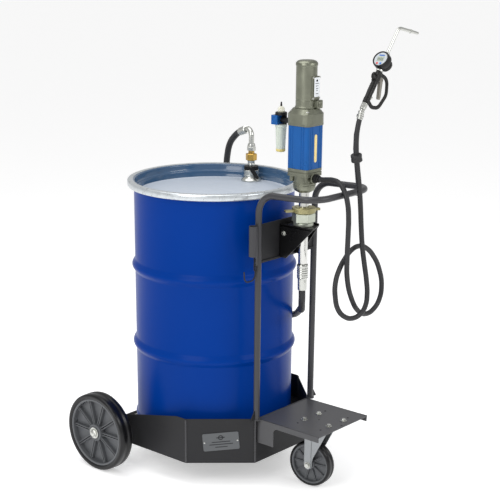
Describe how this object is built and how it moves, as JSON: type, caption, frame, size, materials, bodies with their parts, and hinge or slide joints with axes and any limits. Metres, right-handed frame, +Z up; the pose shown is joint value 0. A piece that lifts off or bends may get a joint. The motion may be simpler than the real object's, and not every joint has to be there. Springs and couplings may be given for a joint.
{
  "type": "mobile gear oil pump set",
  "caption": "Mobile gear oil set: drum on a wheeled tray with handle, air-operated pump on a bracket, suction line into the lid, and delivery hose to a metered gun.",
  "frame": {"origin": "on the floor, under the middle of the set's box without its two hoses", "axes": "+Z up along the drum's axis; +Y from the handle towards the axle of the two large wheels; +X to the side of the drum coupler"},
  "size_m": [0.8826, 0.9877, 1.5825],
  "materials": {
    "drum_paint": "smooth blue paint",
    "pump_blue": "blue painted aluminium extrusion",
    "cast_grey": "warm grey cast aluminium",
    "tray_paint": "dark grey satin paint",
    "tube_paint": "grey satin paint",
    "bracket_paint": "black satin paint",
    "tyre_rubber": "black rubber",
    "rim_plastic": "grey moulded plastic",
    "zinc": "zinc plated steel",
    "chrome_steel": "bright plated steel",
    "brass": "turned brass",
    "lid_paint": "light grey paint",
    "hose_rubber": "black rubber cover",
    "gun_plastic": "black grained plastic",
    "trigger_plastic": "grey plastic",
    "clear_plastic": "clear plastic",
    "face_plastic": "light grey dial plate",
    "red_plastic": "red plastic",
    "blue_plastic": "blue plastic"
  },
  "bodies": {
    "trolley": {"base_skirt": "tray_paint", "base_floor": "tray_paint", "front_platform": "tray_paint", "handle_frame": "tube_paint", "cradle_plate": "tray_paint", "chain_sleeve": "tube_paint", "rear_axle": "zinc", "caster_plate": "zinc", "drum_shell": "drum_paint", "drum_lid": "lid_paint", "closing_ring": "zinc", "coupler_body": "zinc", "union_nut": "brass", "swivel_nut": "zinc", "coupler_elbow": "zinc", "elbow_ferrule": "zinc", "dip_tube": "zinc", "suction_hose": "hose_rubber", "suction_ferrule": "zinc", "pump_tube": "chrome_steel", "bung_adaptor": "zinc", "pump_bracket": "bracket_paint", "lower_housing": "cast_grey", "outlet_fitting": "bracket_paint", "motor_barrel": "pump_blue", "motor_head": "cast_grey", "valve_cylinder": "cast_grey", "lubricator_block": "pump_blue", "lubricator_head": "gun_plastic", "delivery_hose": "hose_rubber", "hose_ferrule": "zinc", "gun_rest": "tube_paint"},
    "left_wheel": {"left_wheel_rim": "rim_plastic", "left_wheel_tyre": "tyre_rubber"},
    "right_wheel": {"right_wheel_rim": "rim_plastic", "right_wheel_tyre": "tyre_rubber"},
    "caster_swivel": {"caster_fork": "zinc", "caster_axle": "zinc"},
    "caster_wheel": {"caster_wheel_rim": "rim_plastic", "caster_wheel_tyre": "tyre_rubber"},
    "chain_hook": {"drum_chain_hook": "tray_paint"},
    "coupler_collar": {"coupler_lever": "gun_plastic"},
    "lug_nut": {"lug_ring": "zinc"},
    "pump_piston": {"air_piston": "gun_plastic", "piston_rod": "chrome_steel"},
    "needle": {"feed_needle": "clear_plastic"},
    "bowl": {"lubricator_bowl": "clear_plastic"},
    "gun": {"gun_nut": "zinc", "gun_body": "gun_plastic", "trigger_guard": "gun_plastic", "meter_bezel": "gun_plastic", "meter_chamber": "gun_plastic", "meter_face": "face_plastic", "spout_tube": "zinc"},
    "trigger": {"trigger": "trigger_plastic"},
    "latch": {"latch_button": "zinc"},
    "total_key": {"total_button": "red_plastic"},
    "reset_key": {"reset_button": "blue_plastic"},
    "nozzle": {"spout_tip": "zinc"}
  },
  "joints": [
    {"name": "left_wheel_spin", "type": "hinge", "parent": "trolley", "child": "left_wheel", "pos_m": [-0.4045, 0.3444, 0.14319], "axis": [1, 0, 0], "continuous": true},
    {"name": "right_wheel_spin", "type": "hinge", "parent": "trolley", "child": "right_wheel", "pos_m": [0.4045, 0.3444, 0.14319], "axis": [1, 0, 0], "continuous": true},
    {"name": "caster_turn", "type": "hinge", "parent": "trolley", "child": "caster_swivel", "pos_m": [0, -0.3626, 0.2], "axis": [0, 0, 1], "continuous": true},
    {"name": "caster_wheel_spin", "type": "hinge", "parent": "caster_swivel", "child": "caster_wheel", "pos_m": [-0.00487, -0.32289, 0.08274], "axis": [0.9925, 0.1219, 0], "continuous": true},
    {"name": "hook_swing", "type": "hinge", "parent": "trolley", "child": "chain_hook", "pos_m": [-0.1683, -0.1886, 0.8437], "axis": [0, 1, 0], "range_deg": [0, 45]},
    {"name": "collar_turn", "type": "hinge", "parent": "trolley", "child": "coupler_collar", "pos_m": [0.235, 0.1784, 1.0426], "axis": [0, 0, 1], "range_deg": [-90, 90]},
    {"name": "lug_nut_turn", "type": "hinge", "parent": "trolley", "child": "lug_nut", "pos_m": [0, -0.2576, 0.986], "axis": [0, 0, 1], "range_deg": [-120, 120]},
    {"name": "pump_stroke", "type": "slide", "parent": "trolley", "child": "pump_piston", "axis": [0, 0, 1], "range_m": [-0.075, 0.012]},
    {"name": "needle_turn", "type": "hinge", "parent": "trolley", "child": "needle", "pos_m": [0, -0.1526, 1.31], "axis": [0, 0, 1], "range_deg": [-180, 180]},
    {"name": "bowl_turn", "type": "hinge", "parent": "trolley", "child": "bowl", "pos_m": [0, -0.1526, 1.22], "axis": [0, 0, 1], "range_deg": [0, 45]},
    {"name": "gun_swivel", "type": "hinge", "parent": "trolley", "child": "gun", "pos_m": [0.05, -0.4586, 1.354], "axis": [0.606, 0, 0.7955], "continuous": true},
    {"name": "trigger_squeeze", "type": "hinge", "parent": "gun", "child": "trigger", "pos_m": [0.1289, -0.4586, 1.41961], "axis": [0, 1, 0], "range_deg": [0, 22], "stiffness_Nm_per_rad": 0.6, "springref_deg": -17.19},
    {"name": "latch_press", "type": "slide", "parent": "gun", "child": "latch", "axis": [-0.7955, 0, 0.606], "range_m": [0, 0.003], "stiffness_N_per_m": 400, "springref_m": -0.002},
    {"name": "total_key_press", "type": "slide", "parent": "gun", "child": "total_key", "axis": [0.7955, 0, -0.606], "range_m": [0, 0.0015], "stiffness_N_per_m": 300, "springref_m": -0.001},
    {"name": "reset_key_press", "type": "slide", "parent": "gun", "child": "reset_key", "axis": [0.7955, 0, -0.606], "range_m": [0, 0.0015], "stiffness_N_per_m": 300, "springref_m": -0.001},
    {"name": "nozzle_twist", "type": "hinge", "parent": "gun", "child": "nozzle", "pos_m": [0.28637, -0.4586, 1.56527], "axis": [0.9771, 0, -0.2127], "range_deg": [0, 90]}
  ]
}
